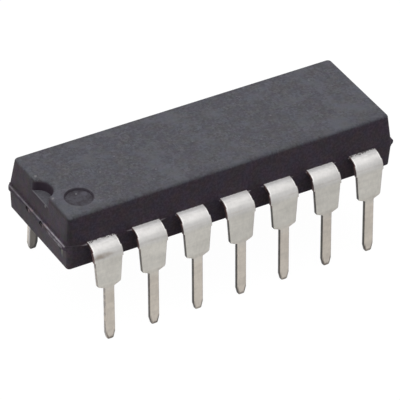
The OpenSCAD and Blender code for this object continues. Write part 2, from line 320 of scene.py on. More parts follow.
def cover(shader, colour, metallic, roughness, heights, distance):
    """Give a shader its colour, its gloss and a relief so many millimetres high."""
    relief = put("ShaderNodeBump", {"Height": heights, "Strength": 1.0, "Distance": distance * MM})
    feed(shader, {"Base Color": colour, "Metallic": metallic, "Roughness": roughness, "Normal": relief})


print("node helpers ready")

# %% [markdown]
# ## Coats and masks
# A finish is laid on in coats, as on a scale model. Each has a colour and a mask, which is one where the coat
# covers and zero where it doesn't. `band` is a stripe, `spot` a round patch, and `product` the place where
# several masks meet. `paint` lays the coats in order, and `shade` darkens or lightens what is there already.

# %% Coats and masks
def band(value, low, high, edge):
    """One between two limits and zero outside them, with soft edges."""
    return product(ramp(value, low - edge, low + edge), ramp(value, high + edge, high - edge))


def far_from(place, centre, squash=(1, 1, 0)):
    """Distance from a point, in plan unless the squash says otherwise."""
    away = calc_vector("MULTIPLY", calc_vector("SUBTRACT", place, centre), squash)
    return new_node("ShaderNodeVectorMath", {0: away}, operation="LENGTH").outputs["Value"]


def spot(place, centre, rim, core, squash=(1, 1, 0)):
    """One inside the core of a round patch and zero beyond its rim."""
    return ramp(far_from(place, centre, squash), rim, core)


def paint(colour, *coats):
    """Lay coats over a colour, each a mask and its own colour."""
    for mask, coat in coats:
        colour = blend(mask, colour, coat)
    return colour


def shade(mask, colour, change):
    """Lighten a colour where a mask says, or darken it by a share below zero."""
    return scaled(colour, plus(1.0, product(mask, change)))


print("masks ready")

# %% [markdown]
# ## Places on the moulding
# The notch and the dot are cut further down, but the compound's finish has to know where they are, so their sizes
# come first. The dot lies beside lead one. A few marks of this very chip are placed too: a crumb and a rubbed
# patch in the dot. Two kinds of painted light are placed with them: a painted sheen on the top in front of the
# dot, and three painted glints at corners of the notch.

# %% Places on the moulding
notch_r = 0.79
notch_floor_r = 0.73
notch_rim = 0.22
notch_depth = 0.64
notch_offset = 0.2
mouth_r = 0.22
dot_r = 0.74
dot_depth = 0.12
dot_draft = radians(20)
dot_from_end = 1.29
dot_from_side = 1.35
bar_pitch = 1.42
bar_w = 0.3

end_x = -half_l + upper_inset
edge_y = half_w - upper_inset
notch_floor_z = top_z - notch_depth
notch_centre = (end_x - notch_offset, 0, 0)
mouth_half = notch_r + mouth_r * 0.5
dot_centre = (end_x + dot_from_end, -edge_y + dot_from_side, 0)


def beside_dot(x, y):
    """A place in plan, counted from the middle of the dot."""
    return dot_centre[0] + x, dot_centre[1] + y, 0


dot_crumb = beside_dot(0.06, 0.41)
dot_rub = beside_dot(0.42, 0.26)
# Painted sheen on the top in front of the dot.
top_sheen = beside_dot(0.48, -0.62)
# Painted glints at three corners of the notch.
rim_glints = ((-9.085, 0.985, top_z), (-9.21, -1.04, top_z), (-9.365, -0.58, 6.45))
print("dot at", [round(v, 2) for v in dot_centre], "notch at", [round(v, 2) for v in notch_centre])

# %% [markdown]
# ## Moulding compound
# The body is black epoxy with a glass filler, a little purple where it is clean. The walls slid along the mould
# and are smooth and dark. The material finds its places by where a point lies and which way its face looks, and
# all coats share a few grains, so that they seem to belong to one material. A faint drift between violet and
# green lies over it.
#
# The notch end's wall is painted paler as painted light, most towards the front and with a blotchy tone. It also
# carries painted shade under the top edge and round the corner, and a short painted highlight runs down from the
# ridge beside that corner.

# %% Walls of the moulding
end_wall_x = (-9.1, -9.25)
corner_highlight_y = (-2.56, -2.44)
shade_under_edge = (top_z - 0.28, top_z - 0.12)


def surface_point(place):
    """Where a point lies, which way it looks, and its grains."""
    x, y, z = split(place)
    upward = split(new_node("ShaderNodeTexCoord", {}, place.id_data).outputs["Normal"])[2]
    fine = grain(place, 8.0, 2.5, 0.7)
    return SimpleNamespace(place=place, x=x, y=y, z=z, upward=upward, fine=fine, speck=ramp(fine, 0.36, 0.66),
                           tint=grain(place, 5.0, 2.0), blotch=grain(place, 2.6, 2.0))


def hue_drift(place, colour, red, blue):
    """A faint drift between violet and green."""
    redder = ramp(grain(place, 2.3, 2.0), 0.35, 0.65, 1 - red, 1 + red)
    bluer = ramp(grain(place, 1.9, 2.0), 0.35, 0.65, 1 - blue, 1 + blue)
    drift = put("ShaderNodeCombineXYZ", {0: redder, 1: 1.0, 2: bluer})
    return calc_vector("MULTIPLY", colour, drift)


def wall_skin(at):
    """Smooth dark walls, and the notch end's wall with painted light, painted shade and a painted highlight."""
    at_end = ramp(at.x, *end_wall_x)
    greyer = product(at_end, ramp(at.tint, 0.45, 0.6, 0.0, 0.6))
    wall = blend(at.speck, (0.035, 0.0245, 0.036), (0.062, 0.048, 0.063))
    wall = blend(greyer, wall, (0.046, 0.044, 0.044))
    # Painted light: the end wall is paler, most towards the front, with a blotchy tone.
    paler = plus(ramp(at.y, 1.0, -2.0, 0.06, 0.36), ramp(at.blotch, 0.3, 0.7, -0.14, 0.14))
    wall = shade(at_end, wall, paler)
    # Painted highlight: a short pale stripe down from the ridge beside the front corner.
    corner_highlight = product(at_end, band(at.y, *corner_highlight_y, 0.08), ramp(at.z, 4.5, 5.25), ramp(at.z, 5.5, 5.42))
    wall = blend(corner_highlight, wall, (0.36, 0.36, 0.335))
    # Painted shade under the top edge of the end wall.
    shade_below_top_edge = product(at_end, ramp(at.y, -0.5, -0.9), band(at.z, *shade_under_edge, 0.06))
    wall = shade(shade_below_top_edge, wall, -0.3)
    # Painted shade round the front corner of the end wall.
    corner_shade = product(at_end, ramp(at.y, -2.45, -2.8), ramp(at.z, part_z, part_z + 0.2))
    wall = shade(corner_shade, wall, -0.42)
    return hue_drift(at.place, wall, 0.09, 0.1)


print("end wall from x", end_wall_x[0], "scrape at y", corner_highlight_y)

# %% [markdown]
# ### Lit top face
# The top face gets a paler, bluish copy of the compound. Its filler grain of a tenth of a millimetre is the
# compound's own, but its paler tone is painted light from above. Wide blotches, streaks and a few pale crumbs
# keep it from looking printed. It darkens at both long edges as painted shade where the top rounds over.

# %% Lit top face
lit_top_z = (top_z - 0.23, top_z - 0.1)
top_edge_shade_y = (edge_y - 0.36, edge_y - 0.12)


def lit_top_skin(at):
    """Pale, bluish top face: the compound's own grain, and painted light from above."""
    broad = grain(at.place, 0.5, 4.0, 0.65)
    streak = grain(at.place, 1.4, 3.0, 0.6, (0.5, 1.0, 1.0))
    lit_top = blend(at.speck, (0.058, 0.055, 0.067), (0.12, 0.119, 0.136))
    # Painted shade towards both long edges of the top.
    lit_top = scaled(lit_top, ramp(calc("ABSOLUTE", at.y), *top_edge_shade_y, 1.0, 0.82))
    lit_top = paint(lit_top,
                  (ramp(at.tint, 0.4, 0.65, 0.0, 0.45), (0.086, 0.093, 0.097)),
                  (ramp(at.blotch, 0.6, 0.35, 0.0, 0.35), (0.088, 0.08, 0.098)))
    lit_top = scaled(lit_top, ramp(at.blotch, 0.3, 0.7, 0.93, 1.07))
    crumbs = new_node("ShaderNodeTexVoronoi", {"Vector": at.place, "Scale": 1.5}).outputs
    chosen = ramp(split(crumbs["Color"])[0], 0.45, 0.75)
    crumb = product(ramp(crumbs["Distance"], 0.11, 0.05), chosen, 0.6)
    lit_top = paint(lit_top,
                  (ramp(streak, 0.42, 0.66, 0.0, 0.3), (0.075, 0.075, 0.088)),
                  (ramp(broad, 0.48, 0.68, 0.0, 0.6), (0.118, 0.121, 0.142)),
                  (crumb, (0.2, 0.2, 0.22)))
    lit_top = hue_drift(at.place, lit_top, 0.03, 0.045)
    # Painted sheen: a paler patch on the top in front of the dot.
    return shade(spot(at.place, top_sheen, 0.8, 0.15), lit_top, 0.26)


print("bloom above z", round(lit_top_z[0], 2), "mm, fading from y", round(top_edge_shade_y[0], 2))

# %% [markdown]
# ### Notch and dot
# Both were polished pins in the mould. Their walls are painted dark as painted shade, and the notch's floor is
# painted paler as painted light from above. The notch's floor has a painted highlight line where it meets the end
# wall. The dot's floor carries a crumb and a rubbed patch, and a ring of painted shade lies round its rim.

# %% Notch and dot
floor_highlight_z = (notch_floor_z - 0.035, notch_floor_z + 0.003)


def hollow_skin(at, skin):
    """The notch and the dot, with painted shade, light and glints, laid over the skin of the block."""
    # Painted shade on the notch's walls, and painted light on its floor.
    in_notch = product(spot(at.place, notch_centre, notch_r + 0.12, notch_r),
                       ramp(at.z, top_z - 0.1, top_z - 0.24), ramp(at.x, end_x - 0.16, end_x - 0.04))
    on_floor = product(in_notch, ramp(at.upward, 0.5, 0.9))
    # Painted highlight along the floor's edge at the end wall.
    floor_edge_highlight = product(band(at.z, *floor_highlight_z, 0.012),
                         spot(at.place, notch_centre, mouth_half, mouth_half - 0.06, (0.6, 1, 0)),
                         ramp(at.x, end_x - 0.02, end_x - 0.05))
    skin = paint(skin,
                 (in_notch, (0.03, 0.021, 0.031)),
                 (on_floor, blend(at.speck, (0.068, 0.066, 0.077), (0.1, 0.098, 0.112))),
                 (floor_edge_highlight, (0.135, 0.13, 0.145)))
    worn = ramp(grain(at.place, 3.2, 4.0, 0.7), 0.4, 0.62)
    dot_floor = paint(blend(worn, (0.038, 0.033, 0.041), (0.068, 0.065, 0.079)),
                      (spot(at.place, dot_crumb, 0.07, 0.02), (0.19, 0.19, 0.2)),
                      (product(spot(at.place, dot_rub, 0.28, 0.08), 0.6), (0.105, 0.1, 0.125)))
    # Painted shade on the dot's walls.
    dot_skin = blend(ramp(at.upward, 0.6, 0.9), (0.024, 0.018, 0.026), dot_floor)
    in_dot = product(spot(at.place, dot_centre, dot_r + 0.04, dot_r), ramp(at.z, top_z - 0.05, top_z - 0.11))
    # Painted shade: a dark ring round the dot's rim.
    dot_rim_shade = product(band(far_from(at.place, dot_centre), dot_r - 0.03, dot_r + 0.03, 0.03),
                      ramp(at.z, top_z - 0.2, top_z - 0.1), 0.6)
    skin = paint(skin, (in_dot, dot_skin), (dot_rim_shade, (0.036, 0.027, 0.038)))
    # Painted glints at three corners of the notch.
    glints = [(spot(at.place, chip, 0.11, 0.03, (1, 1, 1)), (0.2, 0.195, 0.205)) for chip in rim_glints]
    return paint(skin, *glints)


print("floor highlight line at z", [round(z, 3) for z in floor_highlight_z], "and", len(rim_glints), "painted glints")

# %% [markdown]
# ### Parting line highlights and smears
# Where the mould halves met, the skin is torn. On a ridge, a pale line along its root and, towards the front, a
# second one along its crest are painted highlights where its edges catch the light. Beside each tie bar the
# broken copper left a reddish smear. A pale line from the ridge's end to lead one is a painted highlight along
# the parting edge, and the flash is pale all over.

# %% Parting line highlights and smears
root_highlight = (0.065, 0.125)
crest_highlight = (0.15, 0.2)
metal_smear = (0.05, 0.13)


def from_tie_bar(y):
    """Place along a ridge, counted from the nearest tie bar."""
    return calc("WRAP", minus(y, bar_pitch / 2), bar_pitch / 2, -bar_pitch / 2)


def parting_highlights_and_smears(at, skin):
    """Painted highlights on the ridges and the parting edge, pale flash, and metal smeared beside the tie bars.
    """
    past_end = minus(calc("ABSOLUTE", at.x), half_l)
    past_side = minus(calc("ABSOLUTE", at.y), half_w)
    patchy = ramp(grain(at.place, 2.2, 3.0, 0.6), 0.36, 0.62, 0.4, 1.0)
    upper = ramp(at.upward, 0.2, 0.6)
    # Painted highlight along the root of each ridge, stronger towards the front.
    root = product(band(past_end, *root_highlight, 0.018), upper, patchy, ramp(at.y, -0.75, -1.1, 0.5, 1.7))
    # Painted highlight along the crest, towards the front.
    crest = product(band(past_end, *crest_highlight, 0.012), ramp(at.upward, -0.3, 0.2),
                    ramp(at.y, -1.2, -1.5), ramp(grain(at.place, 3.0, 3.0), 0.4, 0.6, 0.25, 0.7))
    smear = product(band(from_tie_bar(at.y), -0.36, -0.1, 0.06), band(past_end, *metal_smear, 0.02), upper,
                    ramp(calc("ABSOLUTE", at.y), 1.4, 1.2), ramp(grain(at.place, 5.0), 0.35, 0.5, 0.3, 0.9))
    # Painted highlight along the parting edge, from the ridge's end to lead one.
    parting_glint_height = minus(at.z, ramp(at.x, -8.5, -9.5, part_z, part_z + 0.16))
    parting_glint = product(band(parting_glint_height, -0.02, 0.02, 0.02), ramp(at.x, -8.2, -8.5),
                   ramp(at.y, -2.9, -3.0), patchy, 0.6)
    flash_edge = product(ramp(past_side, 0.015, 0.05), patchy)
    return paint(skin,
                 (calc("MAXIMUM", root, crest), (0.36, 0.335, 0.37)),
                 (smear, (0.27, 0.205, 0.22)),
                 (parting_glint, (0.13, 0.11, 0.13)),
                 (flash_edge, (0.24, 0.225, 0.24)))


print("highlight lines at", root_highlight, "and", crest_highlight, "mm past the end wall")

# %% [markdown]
# ### The whole compound
# The painted light of the top lies only where the block looks up and only near its top, so an upward face of the
# ridge keeps the walls' colour. The filler also gives the surface its relief: six thousandths of a millimetre
# break up the gloss.

# %% The whole compound
def compound_material():
    """Black epoxy with all its coats."""
    made, shader, place = new_material("black_epoxy_compound")
    at = surface_point(place)
    # Painted light: faces that look up near the top take the paler top colour.
    lit_top_share = product(ramp(at.upward, -0.1, 0.85), ramp(at.z, *lit_top_z))
    skin = blend(lit_top_share, wall_skin(at), lit_top_skin(at))
    skin = parting_highlights_and_smears(at, hollow_skin(at, skin))
    heights = plus(at.fine, product(grain(place, 24.0), 0.5))
    cover(shader, skin, 0.0, ramp(at.fine, 0.2, 0.8, 0.5, 0.68), heights, 0.006)
    feed(shader, {"Specular IOR Level": 0.16})
    return made


compound = compound_material()
print("made", compound.name)

# %% [markdown]
# ## Tin plate
# The leads are stamped from copper alloy strip and then plated with tin. Matt tin scatters more light than it
# mirrors, so it is mixed from metal and pigment, and the bend shows as one broad pale band. The tin is painted
# brightest at the root, as painted light where the body's wall would shade it, and a faint brown mark crosses the
# end of the bend. The plating is a little brighter on the leads at the notch end than at the other, and dullest
# on lead six.

# %% Plating
bend_mark_z = 5.06
dull_lead_x = 2 * pitch


def plating(place, x, z):
    """Tin with its bands, and the two grains that the shader uses again."""
    fine = grain(place, 7.0, 3.0, 0.6, (1, 1, 0.5))
    broad = grain(place, 1.1, 3.0)
    bands = grain(place, 1.6, 3.0, 0.6, (0.3, 1, 2.5))
    face = scaled((0.775, 0.748, 0.69), ramp(x, -7.0, 3.0, 1.07, 0.955))
    pin = scaled((0.78, 0.712, 0.63), ramp(x, -7.0, 3.0, 1.05, 0.975))
    # Painted light: the tin at the root is painted near white.
    tin = blend(ramp(z, 5.547, 5.5), (0.94, 0.93, 0.92), (0.7, 0.685, 0.67))
    tin = paint(tin, (ramp(z, 5.1, 4.7), face), (ramp(z, 3.6, 2.6), pin))
    for wave, low, high, at_low, at_high in ((fine, 0.3, 0.7, 0.94, 1.03), (broad, 0.4, 0.7, 1.02, 0.95),
                                             (bands, 0.35, 0.65, 0.96, 1.04)):
        tin = scaled(tin, ramp(wave, low, high, at_low, at_high))
    mark = product(band(z, bend_mark_z - 0.025, bend_mark_z + 0.025, 0.05),
                   ramp(grain(place, 1.8), 0.35, 0.65, 0.15, 0.8), 0.55)
    tin = blend(mark, tin, (0.5, 0.43, 0.37))
    tin = shade(band(x, dull_lead_x - 0.9, dull_lead_x + 0.9, 0.1), tin, -0.05)
    return tin, fine, broad


print("brown mark at z", bend_mark_z, "mm, lead six at x", dull_lead_x, "mm")

# %% [markdown]
# ### Dirt, bare edges and painted shade
# Specks of resin sit where a lead leaves the body, most of them on the end leads, and lead one has a brown smudge
# on its bend. Shearing thins the plating over the copper: reddish round the bend, grey further down, and much
# paler on lead one. The cut tip has a dark rim of painted shade. The mesh carries a `sheared` and an `inner_side`
# value for that, because they follow the strip round its bend, which a pattern in space couldn't. Lead fourteen
# shows its inner side in painted shade, with one margin in a painted highlight.

# %% Dirt, bare edges and painted shade
resin_l = 0.16
smudge_centre = (-8.0, -3.93, 5.07)
last_lead_x = -row_leads * pitch / 2 + pitch / 2


def soiled(place, axes, tin):
    """Resin specks at the root, and the smudge on the bend of lead one."""
    past_wall = minus(calc("ABSOLUTE", axes[1]), half_w)
    at_ends = ramp(calc("ABSOLUTE", axes[0]), 6.0, 6.6, 0.12, 1.0)
    reach = product(ramp(grain(place, 7.0, 3.0, 0.7), 0.42, 0.62), at_ends, resin_l)
    resin = product(ramp(minus(past_wall, reach), 0.015, -0.015), ramp(axes[2], 5.3, 5.4), 0.85)
    smudge = product(spot(place, smudge_centre, 1.0, 0.2, (1.1, 1, 5.0)),
                     ramp(grain(place, 2.6, 4.0), 0.35, 0.6, 0.5, 1.0), 0.75)
    return paint(tin, (resin, (0.07, 0.05, 0.055)), (smudge, (0.3, 0.24, 0.19)))


def bare_edge(place, x, z):
    """Copper of a sheared edge, red round the bend and grey further down."""
    patches = ramp(grain(place, 3.0), 0.42, 0.6)
    red = blend(patches, (0.055, 0.03, 0.032), (0.15, 0.08, 0.075))
    grey = blend(patches, (0.11, 0.1, 0.095), (0.19, 0.17, 0.15))
    grey = scaled(grey, ramp(x, -6.5, -1.0, 1.0, 0.5))
    grey = scaled(grey, ramp(x, -7.2, -6.4, 3.4, 1.0))
    return blend(ramp(z, 4.9, 4.4), red, grey)


def tip_rim(from_middle, z, patches):
    """Dark rim of painted shade round the cut tip."""
    from_outline = minus(from_middle, ramp(z, 0.0, tip_l, tip_w / 2, pin_w / 2))
    sides = product(ramp(from_outline, -0.13, -0.05), ramp(z, tip_l + 0.2, tip_l - 0.1))
    return product(calc("MAXIMUM", sides, ramp(z, 0.2, 0.08)), ramp(patches, 0.3, 0.6, 0.45, 0.95))


def last_lead(x, inner, tin):
    """Inner side of lead fourteen in painted shade, with a painted highlight along one edge."""
    only_there = product(inner, ramp(x, last_lead_x + 0.82, last_lead_x + 0.52))
    # Painted highlight along one margin of lead fourteen's inner side.
    bright = product(only_there, ramp(x, last_lead_x - 0.11, last_lead_x - 0.165))
    # Painted shade over the rest of it.
    dark = product(only_there, ramp(x, last_lead_x + 0.15, last_lead_x + 0.26), 0.6)
    return paint(tin, (bright, (0.86, 0.83, 0.82)), (dark, (0.02, 0.018, 0.02)))


print("lead fourteen at x", round(last_lead_x, 2), "mm")

# %% [markdown]
# ### The whole plating
# The coats go on in this order: tin, the painted highlight along both edges of the bend, dirt, the painted shade
# at the rim of the tip and the painted shade of the inner side. The sheared edges come last.

# %% The whole plating
def tin_material():
    """Matt tin with all its coats, and copper at the sheared edges."""
    made, shader, place = new_material("matt_tin_plate")
    axes = split(place)
    x, z = axes[0], axes[2]
    tin, fine, broad = plating(place, x, z)
    inner = new_node("ShaderNodeAttribute", {}, made.node_tree, attribute_name="inner_side").outputs["Fac"]
    sheared = new_node("ShaderNodeAttribute", {}, made.node_tree, attribute_name="sheared").outputs["Fac"]
    from_middle = calc("PINGPONG", plus(x, row_leads * pitch), pitch / 2)
    # Painted highlights along both edges of the bend.
    bend_edge_highlight = product(band(from_middle, exit_w / 2 - 0.08, exit_w / 2 - 0.02, 0.02), ramp(z, 5.15, 5.4), 0.7)
    tin = soiled(place, axes, blend(bend_edge_highlight, tin, (0.93, 0.92, 0.9)))
    # Painted shade at the rim of the tip and on the inner side.
    tin = paint(tin, (tip_rim(from_middle, z, broad), (0.17, 0.14, 0.12)),
                (product(inner, 0.55), (0.02, 0.018, 0.024)))
    tin = blend(sheared, last_lead(x, inner, tin), bare_edge(place, x, z))
    cover(shader, tin, 0.35, ramp(broad, 0.3, 0.7, 0.44, 0.52), fine, 0.0016)
    return made


tin = tin_material()
print("made", tin.name)

# %% [markdown]
# ## The body's block
# A mould opens in two halves, so the walls lean inwards above and below the line where they meet. The block is a
# stack of rectangles: an arc for the soft edge underneath, the parting line, and an arc for the soft top edge.
# The upright corners are almost sharp, as the mould was milled with a small cutter.

# %% Body block
far_inside = Vector((half_w, 0))


def body_block():
    """The two drafted halves of the body as one shell."""
    low = Vector((lower_inset, under_z))
    middle = Vector((0, part_z))
    high = Vector((upper_inset, top_z))
    profile = corner_arc(low + far_inside, low, middle, under_fillet, 4)
    profile += [middle]
    profile += corner_arc(middle, high, high + far_inside, top_fillet, 8)
    return loft("moulded_body", [rectangle_ring(half_l - inset, half_w - inset, upright_r, height)
                                 for inset, height in profile])


body = body_block()
print("block has", len(body.data.vertices), "vertices")

# %% [markdown]
# ## Parting ridge
# At both ends the compound crept between the mould halves and left a ridge. It isn't ruled: its crest wavers and
# its height changes where the mould wore, and it fades into the body at its ends, slowly at the notch end and
# quickly at the other. The section is lofted along Y and shifted a little at each step by a seeded random walk.
# Under the notch end's ridge lies the gate scar, where the compound was let in and broken off.

# %% Parting ridge and gate scar
ridge_h = 0.38
ridge_crest_h = 0.24
ridge_l = 5.84
bite = 0.3
gate_l = 1.5
gate_h = 0.24
gate_drop = 0.1
gate_out = 0.06
crest_room = 0.012
bar_edge = bar_pitch / 2 + bar_w / 2


def ridge(end, seed, fade_l):
    """Ridge of one end, with a wavering crest."""
    drift = random.Random(seed)
    slope = (ridge_h - ridge_crest_h) / 2
    steps = 46
    rings = []
    wander = 0.0
    for i in range(steps + 1):
        y = -ridge_l / 2 + ridge_l * i / steps
        wander = 0.8 * wander + drift.uniform(-0.008, 0.008)
        fade = min((ridge_l / 2 + slope - abs(y)) / fade_l, 1) ** 0.5
        out = (ridge_out - crest_room + wander * 0.4) * fade
        rise = ridge_crest_h / 2 + wander * 0.5
        section = [(-bite, ridge_h / 2), (0, ridge_h / 2 - 0.01), (out * 0.4, rise + 0.04), (out * 0.78, rise),
                   (out, rise - 0.06), (out, 0.05 - ridge_crest_h / 2), (out * 0.8, -ridge_crest_h / 2),
                   (0, -ridge_h / 2), (-bite, -ridge_h / 2)]
        if i in (0, steps):
            rings.append([(end * (half_l + min(x, 0)), y + copysign(slope, y), part_z + z) for x, z in section])
        rings.insert(len(rings) - (i == steps), [(end * (half_l + x), y, part_z + z) for x, z in section])
    return loft("ridge", rings)


def gate_scar(seed):
    """Broken gate under the ridge of the notch end."""
    drift = random.Random(seed)
    top = part_z - ridge_h / 2 - gate_drop
    face = half_l - (part_z - top) * tan(lower_draft)
    rings = []
    steps = 18
    for i in range(steps + 1):
        y = -bar_edge - gate_l * i / steps
        out = gate_out * (0.0 if i in (0, steps) else drift.uniform(0.55, 1.0))
        lip = top - drift.uniform(0.0, 0.02)
        rings.append([(-face + bite, y, top), (-face - out, y, lip),
                      (-face - out * 0.8, y, top - gate_h * drift.uniform(0.3, 0.5)),
                      (-face + gate_h * tan(lower_draft), y, top - gate_h), (-face + bite, y, top - gate_h)])
    return loft("gate_scar", rings)


combine(body, [ridge(-1, 3, 0.22), ridge(1, 5, 0.09), gate_scar(8)], "UNION")
print("with ridges:", len(body.data.vertices), "vertices")

# %% [markdown]
# ## Notch, dot and pits
# The notch and the dot tell the end and lead one apart. Both were pins in the mould, and the compound shrank away
# from them with a soft rim. A cutter that flares at its top leaves such a rim in one cut, where a bevel would
# have to be told which edges to take. The notch widens in a small arc where it meets the end wall, and its floor
# has a chamfer there. The tie bars of the die pad were broken off at the ends, and each left a small pit. Two
# ejector pins pressed shallow marks into the underside.

# %% Cutters
ejector_r = 0.75
ejector_depth = 0.05
ejector_pitch = 11.4
pit_w = 0.08
pit_h = 0.18
pit_rise = 0.05
pit_gap = 0.02
pit_depth = 0.13


def pin_cutter(name, make_ring, floor_r, rim_r, depth, floor_fillet, rim_fillet):
    """Cutter from the top with a filleted floor and a flared rim."""
    floor_z = top_z - depth
    above = 0.3
    floor = Vector((floor_r, floor_z))
    rim = Vector((rim_r, top_z))
    profile = corner_arc(Vector((0, floor_z)), floor, rim, floor_fillet, 5)
    profile += corner_arc(floor, rim, Vector((rim_r + 1, top_z)), rim_fillet, 6)
    profile.append(Vector((profile[-1].x, top_z + above)))
    return loft(name, [make_ring(radius, height) for radius, height in profile])


def notch_ring(radius, height, steps=8):
    """Outline of the notch: the circle, and an arc at each side where it meets the end wall."""
    outside = 0.4
    wall_x = -half_l + (min(height, top_z) - part_z) * tan(upper_draft)
    away_x = wall_x + mouth_r - notch_centre[0]
    away_y = sqrt((radius + mouth_r) ** 2 - away_x ** 2)
    meeting = atan2(away_y, away_x)
    side = [(wall_x + mouth_r * (1 - cos(meeting * i / steps)), away_y - mouth_r * sin(meeting * i / steps))
            for i in range(steps + 1)]
    turns = [meeting * (1 - i / (3 * steps)) for i in range(1, 6 * steps)]
    arc = [(notch_centre[0] + radius * cos(angle), radius * sin(angle)) for angle in turns]
    outline = [(wall_x - outside, away_y)] + side + arc
    outline += [(x, -y) for x, y in reversed(side)] + [(wall_x - outside, -away_y)]
    return [(x, y, height) for x, y in outline]


def floor_chamfer():
    """Wedge that takes the sharp edge off the notch's floor."""
    size = 0.035
    outside = 0.2
    z = notch_floor_z
    wall_x = -half_l + (z - part_z) * tan(upper_draft)
    corners = [(wall_x - outside, z - size - outside * 0.7), (wall_x + size * 1.6, z + 0.001),
               (wall_x - outside, z + 0.001)]
    ends = (-mouth_half + 0.03, mouth_half - 0.03)
    return loft("floor_chamfer", [[(x, y, height) for x, height in corners] for y in ends])


def bar_pit(end, side, seed):
    """Torn pit beside a broken tie bar."""
    drift = random.Random(seed)
    near = side * bar_pitch / 2 - bar_w / 2 - pit_gap
    far = side * bar_pitch / 2 + bar_w / 2 + pit_w
    floor = half_l + ridge_out - pit_depth
    low, high = pit_rise - pit_h / 2, pit_rise + pit_h / 2
    corners = [(near, -strip_t / 2), (far, low), (far, high), (near, strip_t / 2)]
    ring = [(y + drift.uniform(-0.015, 0.015), z + drift.uniform(-0.01, 0.01)) for y, z in corners]
    return loft("bar_pit", [[(end * x, y, part_z + z) for y, z in ring] for x in (floor, floor + 0.4)])


def ejector_cutter(side):
    """Shallow round mark of an ejector pin under the body."""
    profile = ((ejector_r, under_z - 0.3), (ejector_r, under_z + ejector_depth * 0.6),
               (ejector_r - 0.02, under_z + ejector_depth))
    return loft("ejector_mark", [circle_ring((side * ejector_pitch / 2, 0), *place) for place in profile])


def dot_ring(radius, height):
    """Outline of the dot at one height."""
    return circle_ring(dot_centre, radius, height)


dot_floor_r = dot_r - dot_depth * tan(dot_draft)
cutters = [pin_cutter("notch", notch_ring, notch_floor_r, notch_r, notch_depth, 0.05, notch_rim),
           pin_cutter("dot", dot_ring, dot_floor_r, dot_r, dot_depth, 0.03, 0.04), floor_chamfer()]
cutters += [bar_pit(end, side, 20 + end + 3 * side) for end in (-1, 1) for side in (-1, 1)]
cutters += [ejector_cutter(side) for side in (-1, 1)]
combine(body, cutters, "DIFFERENCE")
print("after the cuts:", len(body.data.vertices), "vertices")

# %% [markdown]
# ## Geometry trees
# The flash and the leads repeat one form many times, and Geometry Nodes does that. A tree is written here like a
# drawing with named sizes. It always ends in real faces with their material, because an export drops instances,
# and `grow` keeps the result as a plain mesh, so that nothing waits to be evaluated later.

# %% Geometry tree helpers
def geometry_tree(name, sizes):
    """A geometry tree with named number inputs."""
    tree = bpy.data.node_groups.new(name, "GeometryNodeTree")
    face = tree.interface
    face.new_socket("Geometry", in_out="OUTPUT", socket_type="NodeSocketGeometry")
    face.new_socket("Geometry", in_out="INPUT", socket_type="NodeSocketGeometry")
    for label, value in sizes.items():
        kind = "NodeSocketInt" if isinstance(value, int) else "NodeSocketFloat"
        face.new_socket(label, in_out="INPUT", socket_type=kind).default_value = value
    return tree, tree.nodes.new("NodeGroupInput").outputs


def close_tree(tree, result, material):
    """End a tree with real faces and their material."""
    result = put("GeometryNodeRealizeInstances", {0: result})
    result = put("GeometryNodeSetMaterial", {0: result, "Material": material})
    tree.links.new(result, tree.nodes.new("NodeGroupOutput").inputs[0])


def grow(made, tree, sizes):
    """Run a tree on an object with these sizes and keep a plain mesh."""
    step = made.modifiers.new(tree.name, "NODES")
    step.node_group = tree
    for socket in tree.interface.items_tree:
        if socket.in_out == "INPUT" and socket.name in sizes:
            step[socket.identifier] = sizes[socket.name]
    return settle(made)


def named(tree, label, kind="FLOAT"):
    """Read a value that the mesh carries."""
    return new_node("GeometryNodeInputNamedAttribute", {"Name": label}, tree, data_type=kind).outputs["Attribute"]


def points_object(name, places, values, edges=()):
    """Points or a line of them, with a value each, for a tree to work on."""
    mesh = bpy.data.meshes.new(name)
    mesh.from_pydata(places, edges, [])
    for label, numbers in values.items():
        mesh.attributes.new(label, "FLOAT", "POINT").data.foreach_set("value", numbers)
    return add_object(name, mesh)


def turn_faces_out(made):
    """Let every face look outwards, also on mirrored wedges."""
    shape = bmesh.new()
    shape.from_mesh(made.data)
    bmesh.ops.recalc_face_normals(shape, faces=shape.faces)
    shape.to_mesh(made.data)
    shape.free()


print("tree helpers ready")

# %% [markdown]
# ## Flash beside the leads
# Where the mould closed on the lead frame, thin flash crept out on both sides of every lead. It is the same small
# wedge each time and never twice the same length, which is what instances are for. The lengths of the front row
# are read off the real chip, and a seeded random stretch of 15 % is added, as no two wedges tear alike.

# %% Flash wedges
flash_l = 0.42
flash_luck = {"Least": 0.85, "Most": 1.15, "Seed": 4}
front_flash = (0.8, 0.5, 0.9, 1.25, 0.2, 0.25, 0.2, 0.8, 0.5, 0.55, 0.2, 0.7, 0.2, 0.35)
rear_flash = (0.6, 0.4, 0.3, 0.9, 0.7, 0.3, 0.5, 0.6, 0.2, 0.4, 0.8, 0.5, 0.3, 0.6)


def flash_wedge():
    """Wedge along +X and out along -Y, with a feathered edge."""
    feather = 0.012
    rings = []
    for share in (0, 0.35, 0.7, 1):
        x = flash_l * share
        out = flash_out * (1 - share)
        thick = strip_t / 2 * (1 - 0.8 * share)
        rings.append([(x, bite / 2, thick), (x, bite / 2, -thick), (x, 0, -thick * 0.6),
                      (x, -out, -feather), (x, -out, feather), (x, 0, thick * 0.6)])
    return loft("flash_wedge", rings)


